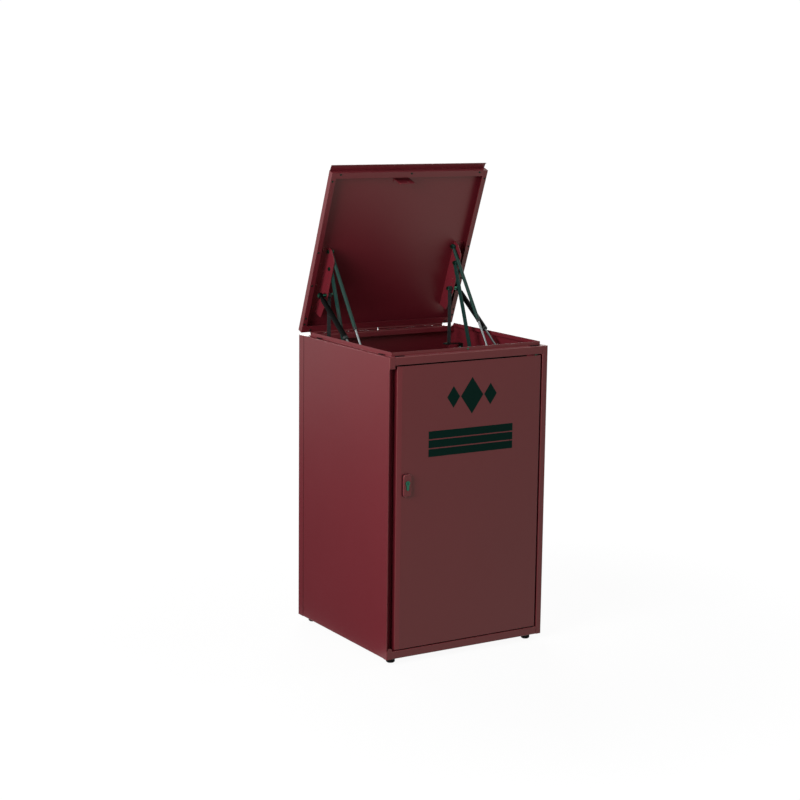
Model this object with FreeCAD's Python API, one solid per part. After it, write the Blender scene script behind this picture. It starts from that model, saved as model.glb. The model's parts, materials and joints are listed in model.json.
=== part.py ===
"""Parcel box of folded sheet steel: open lid on gas springs, key-locked front door and a drop tray.

Millimetres, +Z up, front towards -Y. The lid is modelled open, as it stands in use. Each lid piece
is drawn closed and then swung up about the lid hinge.
"""
import FreeCAD, Part
import math
import os

V = FreeCAD.Vector

# Body
BODY_W = 650.0
BODY_D = 640.0
BODY_H = 1050.0
FOOT_H = 22.0
SHEET = 1.5
BEND = 1.5
RETURN = 20.0
LEDGE = 20.0
COLLAR_H = 14.0
COLLAR_START = 52.0
COLLAR_SLANT = 14.0
SEAM = 38.0
CORNER_W = 22.3
RAIL_H = 28.0
RAIL_DEPTH = 30.0
RAIL_END_GAP = 0.5
JAMB_DEPTH = 30.0
PAN_LIP = 24.0
PAN_GAP = 2.0
FIT = 0.05
CLEAR = 0.3

# Finger groove beside the door, closed by flat tongues at its two ends
GROOVE_TOP = 39.0
GROOVE_BOTTOM = 30.0
GROOVE_DEPTH = 27.5
STOP_LEG = 25.0
GROOVE_EDGE = 0.2

# Door
DOOR_LEFT = 32.0
DOOR_GAP_RIGHT = 6.7
DOOR_GAP_Z = 4.0
DOOR_T = 24.0
DOOR_LIP = 15.0
DOOR_BAND_W = 18.0
DOOR_BAND_SET = 3.0
DOOR_CAP_IN = 5.0
DOOR_PIN_IN = 13.5
DOOR_PIN_R = 4.0
DOOR_PIN_L = 26.0
BUSH_R = 7.0
BUSH_FLANGE = 1.5
BUSH_COLLAR_R = 9.0
STIFFENER_W = 70.0
STIFFENER_FOOT = 15.0
STIFFENER_DEPTH = 14.0
STIFFENER_END = 40.0

# Lock
LOCK_X = 71.0
LOCK_DOWN = 434.0
LOCK_PLATE_W = 32.0
LOCK_PLATE_H = 78.0
LOCK_PLATE_T = 6.0
LOCK_PLATE_R = 9.0
LOCK_GASKET_T = 3.0
LOCK_GASKET_RIM = 1.0
CYLINDER_R = 8.5
CYLINDER_H = 33.0
CYLINDER_BAR = 10.0
CYLINDER_PROUD = 2.0
BAR_ROUND = 0.9
PLUG_R = 6.5
KEYWAY_W = 2.2
KEYWAY_H = 9.0
KEYWAY_DEPTH = 12.0
CARRIER_W = 40.0
CARRIER_H = 104.0
CAM_T = 3.0
CAM_REACH = 30.0
CAM_R = 9.0
CAM_TIP_R = 7.0

# Feet
FOOT_R = 15.5
FOOT_ROUND = 3.0
FOOT_IN = 40.0
STUD_R = 4.0
STUD_L = 20.0
NUT_AF = 13.0
NUT_H = 6.5
ANCHOR_X = 460.0
ANCHOR_Y = 430.0
ANCHOR_R = 6.0

# Lid, drawn closed
LID_OPEN = 69.0
LID_RISE = 2.5
LID_T = 25.0
LID_OVER = 3.5
LIP_OUT = 22.0
LIP_DROP = 4.0
LIP_HEM = 5.0
FRAME_SIDE = 18.5
FRAME_FRONT = 22.0
FRAME_REAR = 24.0
FRAME_LEG = 15.0
SCREW_R = 3.6
SCREW_H = 1.9
SCREW_IN = 7.0
SCREW_ROW = (33.0, 57.0, 189.0, 320.0)
SCREW_FROM_FRONT = 32.0
SCREW_FRONT_X = 290.0
BUFFER_L = 38.0
BUFFER_W = 7.0
BUFFER_H = 2.2
BUFFER_GAP = 0.3
BUFFER_SIDE = (128.0, 562.0)
BUFFER_FRONT_X = 287.0

# Lid hinges
HINGE_BACK = 13.0
HINGE_UP = 6.0
KNUCKLE_R = 4.5
HINGE_PIN_R = 2.5
HINGE_LEAF_T = 1.8
HINGE_L = 280.0
HINGE_SPACE = 6.0
HINGE_LEAF = 24.0
HINGE_KNUCKLES = 7
KNUCKLE_GAP = 0.4

# Lid brackets: outline in distance from the lid's rear edge and depth below its flange
WEB_X = 55.0
WEB_T = 3.0
WEB_OUTLINE = ((68.0, None), (331.0, None), (331.0, 2.0), (303.0, 37.0), (150.0, 40.0), (68.0, 20.0))
WEB_ROUND = (0.0, 0.0, 8.0, 22.0, 30.0, 8.0)
BASE_IN = 20.0
BASE_T = 2.5
ADJUST_HOLES = (178.0, 203.0, 227.0)
ADJUST_DEPTH = 21.0
ADJUST_R = 2.5
RIVET_ROW = (90.0, 180.0, 265.0, 318.0)
RIVET_R = 4.0
RIVET_H = 2.0
BOLT_R = 4.0
BOLT_FLATS = 13.0
BOLT_HEAD_H = 4.0
SPACER_R = 6.5
LIFT_PIVOT = (315.0, -13.0)
LINK_PIVOT = (262.0, 16.0)
SPRING_PIVOT = (163.0, 28.0)

# Lift rods, link bars, gas springs and check straps, as distance from the rear and height over the rim
TRAY_LIFT = (469.0, -200.0)
TRAY_LINK = (290.0, -200.0)
SPRING_FOOT = (437.0, -85.0)
LIFT_TUBE_R = 6.5
LIFT_TUBE_L = 298.0
LIFT_GAP = 1.0
LIFT_ROD_R = 4.0
LIFT_ROD_IN = 40.0
EYE_R = 9.0
EYE_T = 9.0
EYE_NECK = 14.0
LINK_W = 18.0
LINK_T = 5.0
LINK_SLOT = 44.0
NEARLY_ROUND = 0.98
SPRING_X = 32.0
SPRING_TUBE_R = 9.5
SPRING_TUBE_L = 205.0
SPRING_ROD_R = 4.0
SPRING_ROD_IN = 24.0
SPRING_EYE_R = 11.0
SPRING_NECK = 25.0
SPRING_NECK_R = 6.65
SPRING_BOSS_R = 9.0
SPRING_PLATE = 44.0
SPRING_PLATE_T = 3.0
SPRING_PLATE_R = 7.0
STRAP_W = 15.0
STRAP_T = 2.0
STRAP_GAP = 1.5
STRAP_FOOT = -60.0
STRAP_TAB = 30.0
STRAP_SLEEVE_R = 6.0
ANCHOR_T = 2.5
ANCHOR_D = 26.0
ANCHOR_LEG = 40.0

# Drop tray
TRAY_BACK = 22.0
TRAY_DOWN = -215.0
TRAY_FRONT = 585.0
TRAY_SIDE = 77.5
TRAY_FLANGE = 45.0
TRAY_LIP = 25.0
TRAY_CURL_R = 6.5
TRAY_ROD_R = 4.0
TRAY_ROD_END = 60.0
TRAY_BRACKET_T = 6.0
TRAY_BRACKET_H = 46.0
TRAY_BRACKETS = 3

# Lid latch
LATCH_X = -14.0
LATCH_W = 44.0
LATCH_H = 22.0
LATCH_R = 4.0
LATCH_ROUND = 2.0
LATCH_DOWN = 12.0
LATCH_NOSE = 1.2
TONGUE_X = -22.0
TONGUE_W = 64.0
TONGUE_T = 2.5
TONGUE_REACH = 22.0
TONGUE_IN = 13.0
TONGUE_HOLE_PLAY = 0.6
TONGUE_R = 6.0
TONGUE_FOOT = 12.5

# Places worked out from the sizes
LEFT = -BODY_W / 2
FRONT = -BODY_D / 2
REAR = BODY_D / 2
BOTTOM = FOOT_H
RIM = FOOT_H + BODY_H
PAN_Z = BOTTOM + SHEET
RAIL_LEFT = LEFT + CORNER_W + RAIL_END_GAP
DOOR_X0 = LEFT + DOOR_LEFT
DOOR_X1 = -LEFT - CORNER_W - DOOR_GAP_RIGHT
DOOR_Z0 = BOTTOM + RAIL_H + DOOR_GAP_Z
DOOR_Z1 = RIM - RAIL_H - DOOR_GAP_Z
DOOR_BACK = FRONT + DOOR_T
DOOR_PIN = (DOOR_X1 - DOOR_PIN_IN, FRONT + DOOR_T / 2)
LOCK = (LEFT + LOCK_X, RIM - LOCK_DOWN)
STOP_BACK = FRONT + GROOVE_DEPTH + SHEET
HINGE = (REAR - HINGE_BACK, RIM + HINGE_UP)
HINGE_X = (HINGE_L + HINGE_SPACE) / 2
LID_Z0 = RIM + LID_RISE
LID_Z1 = LID_Z0 + LID_T
LID_REAR = HINGE[0] - KNUCKLE_R
LID_FRONT = FRONT - LID_OVER
LID_SKIN = LID_Z1 - SHEET
TRAY_AXIS = (REAR - TRAY_BACK, RIM + TRAY_DOWN)
GROOVE_ROUND = (CORNER_W - BEND - SHEET) / 2
WEB_OUT = LEFT + WEB_X
WEB_IN = WEB_OUT + WEB_T
LIFT_X = WEB_IN + LIFT_GAP + LIFT_TUBE_R
LINK_X = WEB_IN + STRAP_GAP + LINK_T / 2
TRAY_X = LEFT + TRAY_SIDE
STRAP_X0 = WEB_IN + STRAP_GAP
LATCH_Y = FRONT + SHEET + BEND + CLEAR
LATCH_Z = LID_Z0 - LATCH_DOWN
TONGUE_Y = FRONT + LEDGE + SHEET + TONGUE_IN - TONGUE_T


def box(x0, x1, y0, y1, z0, z1):
    return Part.makeBox(x1 - x0, y1 - y0, z1 - z0, V(x0, y0, z0))


def rod(radius, start, end):
    axis = V(*end) - V(*start)
    return Part.makeCylinder(radius, axis.Length, V(*start), axis)


def joined(shapes):
    whole = shapes[0]
    for shape in shapes[1:]:
        whole = whole.fuse(shape)
    return whole.removeSplitter()


def mirrored(shape):
    return shape.mirror(V(0, 0, 0), V(1, 0, 0))


def flat_face(points, radii, place):
    """Flat face with these corners in its own plane, each rounded by its own radius."""
    corners = [V(u, v, 0) for u, v in points]
    edges = []
    stops = []
    for i, corner in enumerate(corners):
        back = (corners[i - 1] - corner).normalize()
        on = (corners[(i + 1) % len(corners)] - corner).normalize()
        if radii[i] == 0:
            stops.append((corner, corner, None))
            continue
        half = back.getAngle(on) / 2
        reach = radii[i] / math.tan(half)
        middle = (back + on).normalize() * (radii[i] / math.sin(half) - radii[i])
        stops.append((corner + back * reach, corner + on * reach, corner + middle))
    for i, (start, end, middle) in enumerate(stops):
        if middle is not None:
            edges.append(Part.Arc(place(start), place(middle), place(end)).toShape())
        following = stops[(i + 1) % len(stops)][0]
        if (following - end).Length > 1e-6:
            edges.append(Part.LineSegment(place(end), place(following)).toShape())
    return Part.Face(Part.Wire(edges))


def along_x(x):
    return lambda p: V(x, p.x, p.y)


def along_y(y):
    return lambda p: V(p.x, y, p.y)


def along_z(z):
    return lambda p: V(p.x, p.y, z)


def folded(path, place, length, bends=None):
    """Folded sheet: path is its show face and the sheet lies on the path's right."""
    points = [V(u, v, 0) for u, v in path]
    steps = [(b - a).normalize() for a, b in zip(points, points[1:])]
    sides = [V(s.y, -s.x, 0) for s in steps]
    backs = [points[0] + sides[0] * SHEET]
    show_radii = [0.0]
    back_radii = [0.0]
    for i in range(1, len(steps)):
        share = 1 + sides[i - 1].dot(sides[i])
        backs.append(points[i] + (sides[i - 1] + sides[i]) * (SHEET / share))
        turn = steps[i - 1].x * steps[i].y - steps[i - 1].y * steps[i].x
        bend = BEND if bends is None else bends[i - 1]
        show_radii.append(bend + SHEET if turn < 0 else bend)
        back_radii.append(bend if turn < 0 else bend + SHEET)
    backs.append(points[-1] + sides[-1] * SHEET)
    outline = [(p.x, p.y) for p in points + backs[::-1]]
    radii = show_radii + [0.0, 0.0] + back_radii[:0:-1] + [0.0]
    face = flat_face(outline, radii, place)
    return face.extrude(length)


def slot_block(length, width, height, centre, turned=False):
    """Flat block with half-round ends, lying on its centre's level."""
    x, y, z = centre
    half = length / 2 - width / 2
    middle = box(x - half, x + half, y - width / 2, y + width / 2, z, z + height)
    ends = [rod(width / 2, (x + s * half, y, z), (x + s * half, y, z + height)) for s in (-1, 1)]
    block = joined([middle] + ends)
    if turned:
        block.rotate(V(x, y, z), V(0, 0, 1), 90)
    return block


# The body's sheets
def side_sheet():
    """Left side wall with its bottom return, rim ledge and rim collar."""
    seam_y = REAR - SEAM
    path = [
        (LEFT + RETURN, BOTTOM), (LEFT, BOTTOM), (LEFT, RIM), (LEFT + LEDGE, RIM),
        (LEFT + LEDGE, RIM + COLLAR_H),
    ]
    start_y = FRONT + BEND + SHEET
    wall = folded(path, along_y(start_y), V(0, seam_y - start_y, 0))
    reach = LEDGE + 2 * SHEET
    front_cut = box(LEFT, LEFT + reach, start_y, FRONT + LEDGE + SHEET, RIM, RIM + COLLAR_H)
    collar_end = REAR - COLLAR_START
    slant = [
        (collar_end, RIM), (collar_end - COLLAR_SLANT, RIM + COLLAR_H), (seam_y, RIM + COLLAR_H),
        (seam_y, RIM),
    ]
    rear_cut = flat_face(slant, [0] * 4, along_x(LEFT)).extrude(V(reach, 0, 0))
    corner = box(LEFT + SHEET, LEFT + LEDGE + SHEET, FRONT, FRONT + LEDGE, RIM - SHEET, RIM)
    return joined([wall.cut(front_cut).cut(rear_cut), corner])


def left_side_panel():
    tongue = [(LEFT + CORNER_W, FRONT), (LEFT, FRONT), (LEFT, FRONT + RETURN)]
    groove = [
        (LEFT + GROOVE_DEPTH + STOP_LEG, FRONT + GROOVE_DEPTH),
        (LEFT + GROOVE_DEPTH, FRONT + GROOVE_DEPTH), (LEFT, FRONT), (LEFT, FRONT + RETURN),
    ]
    groove_z0 = BOTTOM + GROOVE_BOTTOM
    groove_z1 = RIM - GROOVE_TOP
    round_x = LEFT + CORNER_W - GROOVE_ROUND
    return joined([
        side_sheet(),
        folded(tongue, along_z(BOTTOM), V(0, 0, GROOVE_BOTTOM)),
        rod(GROOVE_ROUND, (round_x, FRONT, groove_z0), (round_x, FRONT + SHEET, groove_z0)),
        folded(groove, along_z(groove_z0), V(0, 0, groove_z1 - groove_z0), (BEND, GROOVE_EDGE)),
        folded(tongue, along_z(groove_z1), V(0, 0, GROOVE_TOP)),
    ])


def right_side_panel():
    post = [
        (LEFT + CORNER_W, FRONT + JAMB_DEPTH), (LEFT + CORNER_W, FRONT), (LEFT, FRONT),
        (LEFT, FRONT + RETURN),
    ]
    return mirrored(joined([side_sheet(), folded(post, along_z(BOTTOM), V(0, 0, BODY_H))]))


def rear_panel():
    wrap = [(LEFT, REAR - SEAM), (LEFT, REAR), (LEFT + RETURN, REAR)]
    left_wrap = folded(wrap, along_z(BOTTOM), V(0, 0, BODY_H))
    back = [
        (REAR - SEAM, RIM - RETURN), (REAR - SEAM, RIM), (REAR, RIM), (REAR, BOTTOM),
        (REAR - RETURN, BOTTOM),
    ]
    inset = BEND + SHEET
    wall = folded(back, along_x(LEFT + inset), V(BODY_W - 2 * inset, 0, 0))
    corner = box(LEFT + SHEET, LEFT + RETURN, REAR - SEAM, REAR - SHEET, RIM - SHEET, RIM)
    return joined([wall, left_wrap, mirrored(left_wrap), corner, mirrored(corner)])


def top_front_rail():
    path = [
        (FRONT + RAIL_DEPTH, RIM - RAIL_H), (FRONT, RIM - RAIL_H), (FRONT, RIM), (FRONT + LEDGE, RIM),
        (FRONT + LEDGE, RIM + COLLAR_H),
    ]
    rail = folded(path, along_x(RAIL_LEFT), V(-2 * RAIL_LEFT, 0, 0))
    x, y = DOOR_PIN
    return rail.cut(rod(BUSH_R, (x, y, RIM - RAIL_H - 1), (x, y, RIM - RAIL_H + 2 * SHEET)))


def bottom_front_rail():
    path = [
        (FRONT + RETURN, BOTTOM), (FRONT, BOTTOM), (FRONT, BOTTOM + RAIL_H),
        (FRONT + RAIL_DEPTH, BOTTOM + RAIL_H),
    ]
    rail = folded(path, along_x(RAIL_LEFT), V(-2 * RAIL_LEFT, 0, 0))
    x, y = DOOR_PIN
    top = BOTTOM + RAIL_H
    return rail.cut(rod(BUSH_R, (x, y, top - 2 * SHEET), (x, y, top + 1)))


def foot_places():
    inset_x = -LEFT - FOOT_IN
    inset_y = REAR - FOOT_IN
    names = {"front_left": (-1, -1), "front_right": (1, -1), "rear_left": (-1, 1), "rear_right": (1, 1)}
    return {name: (sx * inset_x, sy * inset_y) for name, (sx, sy) in names.items()}


def floor_pan():
    x = -LEFT - SHEET - PAN_GAP
    top = PAN_Z + PAN_LIP
    path = [(x, top), (x, PAN_Z), (-x, PAN_Z), (-x, top)]
    y0 = FRONT + RAIL_DEPTH + PAN_GAP
    y1 = REAR - SHEET - PAN_GAP
    pan = folded(path, along_y(y0), V(0, y1 - y0, 0))
    lips = [box(-x + SHEET, x - SHEET, y, y + SHEET, PAN_Z + SHEET, top) for y in (y0, y1 - SHEET)]
    pan = joined([pan] + lips)
    for sx in (-1, 1):
        for sy in (-1, 1):
            at = (sx * ANCHOR_X / 2, sy * ANCHOR_Y / 2)
            pan = pan.cut(rod(ANCHOR_R, (*at, PAN_Z - 1), (*at, PAN_Z + 2 * SHEET)))
    for at in foot_places().values():
        pan = pan.cut(rod(STUD_R, (*at, PAN_Z - 1), (*at, PAN_Z + 2 * SHEET)))
    return pan


def foot(x, y):
    pad = Part.makeCylinder(FOOT_R, PAN_Z, V(x, y, 0))
    pad = pad.makeChamfer(FOOT_ROUND, [e for e in pad.Edges if e.BoundBox.ZMax < 0.01])
    return joined([pad, rod(STUD_R, (x, y, PAN_Z), (x, y, PAN_Z + STUD_L))])


def hex_face(flats, centre, place):
    radius = flats / math.sqrt(3)
    turns = [math.radians(60 * i) for i in range(6)]
    corners = [(centre[0] + radius * math.cos(a), centre[1] + radius * math.sin(a)) for a in turns]
    return flat_face(corners, [0] * 6, place)


def hex_nut(x, y, z):
    prism = hex_face(NUT_AF, (x, y), along_z(z)).extrude(V(0, 0, NUT_H))
    return prism.cut(rod(STUD_R, (x, y, z - 1), (x, y, z + NUT_H + 1)))


def foot_nuts():
    return Part.makeCompound([hex_nut(x, y, PAN_Z + SHEET) for x, y in foot_places().values()])


# The door
def euro_profile(grow, place):
    """Round head over a flat bar, the section of a profile cylinder."""
    x, z = LOCK
    radius = CYLINDER_R + grow
    half = CYLINDER_BAR / 2 + grow
    low = z + CYLINDER_R - CYLINDER_H - grow
    head = Part.Face(Part.Wire(Part.Circle(place(V(x, z, 0)), V(0, 1, 0), radius).toShape()))
    corners = [(x - half, low), (x + half, low), (x + half, z), (x - half, z)]
    bar = flat_face(corners, [half * BAR_ROUND, half * BAR_ROUND, 0, 0], place)
    return head, bar


def cylinder_block(grow, y0, y1):
    head, bar = euro_profile(grow, along_y(y0))
    reach = V(0, y1 - y0, 0)
    return joined([head.extrude(reach), bar.extrude(reach)])


def door_panel():
    path = [
        (DOOR_X1 - DOOR_LIP, DOOR_BACK), (DOOR_X1, DOOR_BACK), (DOOR_X1, FRONT),
        (DOOR_X0 + DOOR_BAND_W, FRONT), (DOOR_X0, FRONT + DOOR_BAND_SET), (DOOR_X0, DOOR_BACK),
        (DOOR_X0 + DOOR_LIP, DOOR_BACK),
    ]
    panel = folded(path, along_z(DOOR_Z0), V(0, 0, DOOR_Z1 - DOOR_Z0))
    caps = []
    for z in (DOOR_Z0 + DOOR_CAP_IN, DOOR_Z1 - DOOR_CAP_IN - SHEET):
        cap = [
            (DOOR_X0 + SHEET, FRONT + DOOR_BAND_SET), (DOOR_X0 + DOOR_BAND_W, FRONT + SHEET / 2),
            (DOOR_X1 - SHEET, FRONT + SHEET / 2), (DOOR_X1 - SHEET, DOOR_BACK), (DOOR_X0 + SHEET, DOOR_BACK),
        ]
        caps.append(flat_face(cap, [0] * 5, along_z(z)).extrude(V(0, 0, SHEET)))
    panel = joined([panel] + caps)
    panel = panel.cut(cylinder_block(CLEAR, FRONT - 1, FRONT + 2 * SHEET))
    x, y = DOOR_PIN
    return panel.cut(rod(DOOR_PIN_R, (x, y, DOOR_Z0), (x, y, DOOR_Z1)))


def door_stiffener():
    x = (DOOR_X0 + DOOR_X1) / 2
    back = FRONT + SHEET
    crown = back + STIFFENER_DEPTH
    half = STIFFENER_W / 2
    foot_x = half + STIFFENER_FOOT
    slope = STIFFENER_DEPTH / 3
    path = [
        (x - foot_x, back + SHEET), (x - half, back + SHEET), (x - half + slope, crown),
        (x + half - slope, crown), (x + half, back + SHEET), (x + foot_x, back + SHEET),
    ]
    z0 = DOOR_Z0 + STIFFENER_END
    return folded(path, along_z(z0), V(0, 0, DOOR_Z1 - DOOR_Z0 - 2 * STIFFENER_END))


def door_hinge_pins():
    x, y = DOOR_PIN
    reach = DOOR_GAP_Z + 3 * SHEET
    low = rod(DOOR_PIN_R, (x, y, DOOR_Z0 - reach), (x, y, DOOR_Z0 - reach + DOOR_PIN_L))
    high = rod(DOOR_PIN_R, (x, y, DOOR_Z1 + reach - DOOR_PIN_L), (x, y, DOOR_Z1 + reach))
    return Part.makeCompound([low, high])


def door_hinge_bushes():
    x, y = DOOR_PIN
    bushes = []
    for face, way in ((BOTTOM + RAIL_H, 1), (RIM - RAIL_H, -1)):
        collar = rod(BUSH_COLLAR_R, (x, y, face), (x, y, face + way * BUSH_FLANGE))
        body = rod(BUSH_R, (x, y, face), (x, y, face - way * 3 * SHEET))
        bore = rod(DOOR_PIN_R + FIT, (x, y, face - DOOR_PIN_L), (x, y, face + DOOR_PIN_L))
        bushes.append(joined([collar, body]).cut(bore))
    return Part.makeCompound(bushes)


def lock_plate(width, height, y0, y1):
    x, z = LOCK
    z -= CYLINDER_H / 2 - CYLINDER_R
    corners = [
        (x - width / 2, z - height / 2), (x + width / 2, z - height / 2),
        (x + width / 2, z + height / 2), (x - width / 2, z + height / 2),
    ]
    radius = LOCK_PLATE_R + (width - LOCK_PLATE_W) / 2
    plate = flat_face(corners, [radius] * 4, along_y(y0)).extrude(V(0, y1 - y0, 0))
    return plate


def lock_escutcheon():
    back = FRONT - LOCK_GASKET_T
    plate = lock_plate(LOCK_PLATE_W, LOCK_PLATE_H, back - LOCK_PLATE_T, back)
    rim = [e for e in plate.Edges if e.BoundBox.YMax < back - LOCK_PLATE_T + 0.01]
    plate = plate.makeChamfer(LOCK_PLATE_T / 4, rim)
    return plate.cut(cylinder_block(CLEAR, back - LOCK_PLATE_T - 1, back + 1))


def lock_gasket():
    grow = 2 * LOCK_GASKET_RIM
    plate = lock_plate(LOCK_PLATE_W + grow, LOCK_PLATE_H + grow, FRONT - LOCK_GASKET_T, FRONT)
    return plate.cut(cylinder_block(CLEAR, FRONT - LOCK_GASKET_T - 1, FRONT + 1))


def lock_front():
    return FRONT - LOCK_GASKET_T - LOCK_PLATE_T - CYLINDER_PROUD


def lock_cylinder():
    x, z = LOCK
    body = cylinder_block(0, lock_front(), STOP_BACK - SHEET)
    return body.cut(rod(PLUG_R + FIT, (x, lock_front() - 1, z), (x, STOP_BACK + 1, z)))


def lock_plug():
    x, z = LOCK
    cam_front = STOP_BACK + CLEAR
    plug = rod(PLUG_R, (x, lock_front(), z), (x, cam_front, z))
    half_w = KEYWAY_W / 2
    half_h = KEYWAY_H / 2
    front = lock_front()
    keyway = box(x - half_w, x + half_w, front - 1, front + KEYWAY_DEPTH, z - half_h, z + half_h)
    return plug.cut(keyway)


def lock_cam():
    """Lever on the plug's end: upright when unlocked, behind the body's stop leg when turned."""
    x, z = LOCK
    y = STOP_BACK + CLEAR
    tip_z = z + CAM_REACH - CAM_TIP_R
    hub = rod(CAM_R, (x, y, z), (x, y + CAM_T, z))
    tip = rod(CAM_TIP_R, (x, y, tip_z), (x, y + CAM_T, tip_z))
    arm = box(x - CAM_TIP_R, x + CAM_TIP_R, y, y + CAM_T, z, tip_z)
    return joined([hub, arm, tip])


def lock_carrier():
    """Bent sheet box on the door's inner face that holds the cylinder."""
    x, z = LOCK
    z -= CYLINDER_H / 2 - CYLINDER_R
    back = FRONT + SHEET
    half = CARRIER_W / 2
    path = [(x - half, back), (x - half, DOOR_BACK), (x + half, DOOR_BACK), (x + half, back)]
    low = z - CARRIER_H / 2
    shell = folded(path, along_z(low), V(0, 0, CARRIER_H))
    return shell.cut(cylinder_block(CLEAR, back - 1, DOOR_BACK + 1))


# The lid, drawn closed and swung open
def swung(shape):
    turned = shape.copy()
    turned.rotate(V(0, *HINGE), V(1, 0, 0), -LID_OPEN)
    return turned


def lid_point(pivot):
    """Place of a lid point with the lid open, from its distance and depth on the lid."""
    return swing_point(closed_point(pivot), -LID_OPEN)


def closed_point(pivot):
    return (LID_REAR - pivot[0], LID_Z0 - pivot[1])


def swing_point(point, degrees):
    angle = math.radians(degrees)
    y = point[0] - HINGE[0]
    z = point[1] - HINGE[1]
    return (HINGE[0] + y * math.cos(angle) - z * math.sin(angle),
            HINGE[1] + y * math.sin(angle) + z * math.cos(angle))


def lid_cover():
    skirts = [(LEFT, LID_Z0), (LEFT, LID_Z1), (-LEFT, LID_Z1), (-LEFT, LID_Z0)]
    pan = folded(skirts, along_y(LID_FRONT), V(0, LID_REAR - LID_FRONT, 0))
    rear = box(LEFT + SHEET, -LEFT - SHEET, LID_REAR - SHEET, LID_REAR, LID_Z0, LID_SKIN)
    tip = LID_FRONT - LIP_OUT
    edge = LID_Z1 - LIP_DROP
    nose = [(tip, edge - LIP_HEM), (tip, edge), (LID_FRONT, LID_Z1), (LID_FRONT + RETURN, LID_Z1)]
    lip = folded(nose, along_x(LEFT + BEND + SHEET), V(BODY_W - 2 * (BEND + SHEET), 0, 0))
    return joined([pan, rear, lip])


def lid_frame():
    """Screwed frame under the lid: front skirt, side legs and a flange all round."""
    x = -LEFT - SHEET
    y1 = LID_REAR - SHEET
    plate = box(-x, x, LID_FRONT, y1, LID_Z0, LID_Z0 + SHEET)
    hole_x = -LEFT - FRAME_SIDE
    hole = box(-hole_x, hole_x, LID_FRONT + FRAME_FRONT, LID_REAR - FRAME_REAR, LID_Z0 - 1, LID_Z1)
    leg_top = LID_Z0 + FRAME_LEG
    front = box(-x, x, LID_FRONT, LID_FRONT + SHEET, LID_Z0, LID_SKIN - SHEET)
    legs = [box(s - SHEET / 2, s + SHEET / 2, LID_FRONT, y1, LID_Z0, leg_top)
            for s in (-x + SHEET / 2, x - SHEET / 2)]
    back = box(-x, x, y1 - SHEET, y1, LID_Z0, leg_top)
    return joined([plate.cut(hole), front, back] + legs)


def screw_places():
    side_x = -LEFT - SCREW_IN
    rows = [LID_REAR - d for d in SCREW_ROW] + [LID_FRONT + SCREW_FROM_FRONT]
    places = [(s * side_x, y) for y in rows for s in (-1, 1)]
    front_y = LID_FRONT + SCREW_IN
    rear_y = LID_REAR - SCREW_IN - SHEET
    places += [(x, front_y) for x in (-SCREW_FRONT_X, 0.0, SCREW_FRONT_X)]
    places += [(x, rear_y) for x in (-SCREW_FRONT_X, SCREW_FRONT_X)]
    return places


def lid_frame_screws():
    heads = []
    for x, y in screw_places():
        heads.append(rod(SCREW_R, (x, y, LID_Z0 - SCREW_H), (x, y, LID_Z0)))
    return Part.makeCompound(heads)


def lid_latch_tongue():
    x0 = TONGUE_X - TONGUE_W / 2
    x1 = TONGUE_X + TONGUE_W / 2
    y0 = TONGUE_Y
    base = box(x0, x1, y0, y0 + TONGUE_FOOT, LID_SKIN - TONGUE_T, LID_SKIN)
    corners = [
        (x0, LID_SKIN - TONGUE_T), (x1, LID_SKIN - TONGUE_T), (x1, LID_Z0 - TONGUE_REACH),
        (x0, LID_Z0 - TONGUE_REACH),
    ]
    plate = flat_face(corners, [0, 0, TONGUE_R, TONGUE_R], along_y(y0)).extrude(V(0, TONGUE_T, 0))
    hole = rod(LATCH_R + TONGUE_HOLE_PLAY, (LATCH_X, y0 - 1, LATCH_Z), (LATCH_X, y0 + TONGUE_T + 1, LATCH_Z))
    return joined([base, plate]).cut(hole)


def lid_bracket():
    """Left bracket: a base on the lid's skin and a deep web that carries the pivots."""
    skin_depth = LID_Z0 - LID_SKIN
    outline = [closed_point((s, skin_depth if n is None else n)) for s, n in WEB_OUTLINE]
    web = flat_face(outline, WEB_ROUND, along_x(WEB_OUT)).extrude(V(WEB_T, 0, 0))
    rear = LID_REAR - WEB_OUTLINE[0][0]
    front = LID_REAR - WEB_OUTLINE[1][0]
    base = box(LEFT + BASE_IN, WEB_OUT, front, rear, LID_SKIN - BASE_T, LID_SKIN)
    bracket = joined([web, base])
    holes = [(pivot, BOLT_R) for pivot in (LIFT_PIVOT, LINK_PIVOT, SPRING_PIVOT)]
    holes += [((s, ADJUST_DEPTH), ADJUST_R) for s in ADJUST_HOLES]
    for place, radius in holes:
        y, z = closed_point(place)
        bracket = bracket.cut(rod(radius, (WEB_OUT - 1, y, z), (WEB_IN + 1, y, z)))
    return bracket


def bracket_rivets():
    x = LEFT + (BASE_IN + WEB_X) / 2
    under = LID_SKIN - BASE_T
    heads = []
    for s in RIVET_ROW:
        y = LID_REAR - s
        head = rod(RIVET_R, (x, y, under - RIVET_H), (x, y, under))
        heads += [head, mirrored(head)]
    return Part.makeCompound([swung(head) for head in heads])


def bolt(pivot, head_x, end_x):
    """Pivot bolt with a head on the outer side and a nut on the inner side."""
    y, z = closed_point(pivot)
    head = hex_face(BOLT_FLATS, (y, z), along_x(head_x)).extrude(V(BOLT_HEAD_H, 0, 0))
    shank = rod(BOLT_R, (head_x, y, z), (end_x, y, z))
    nut = hex_face(BOLT_FLATS, (y, z), along_x(end_x - BOLT_HEAD_H)).extrude(V(BOLT_HEAD_H, 0, 0))
    return joined([head, shank, nut])


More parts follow.
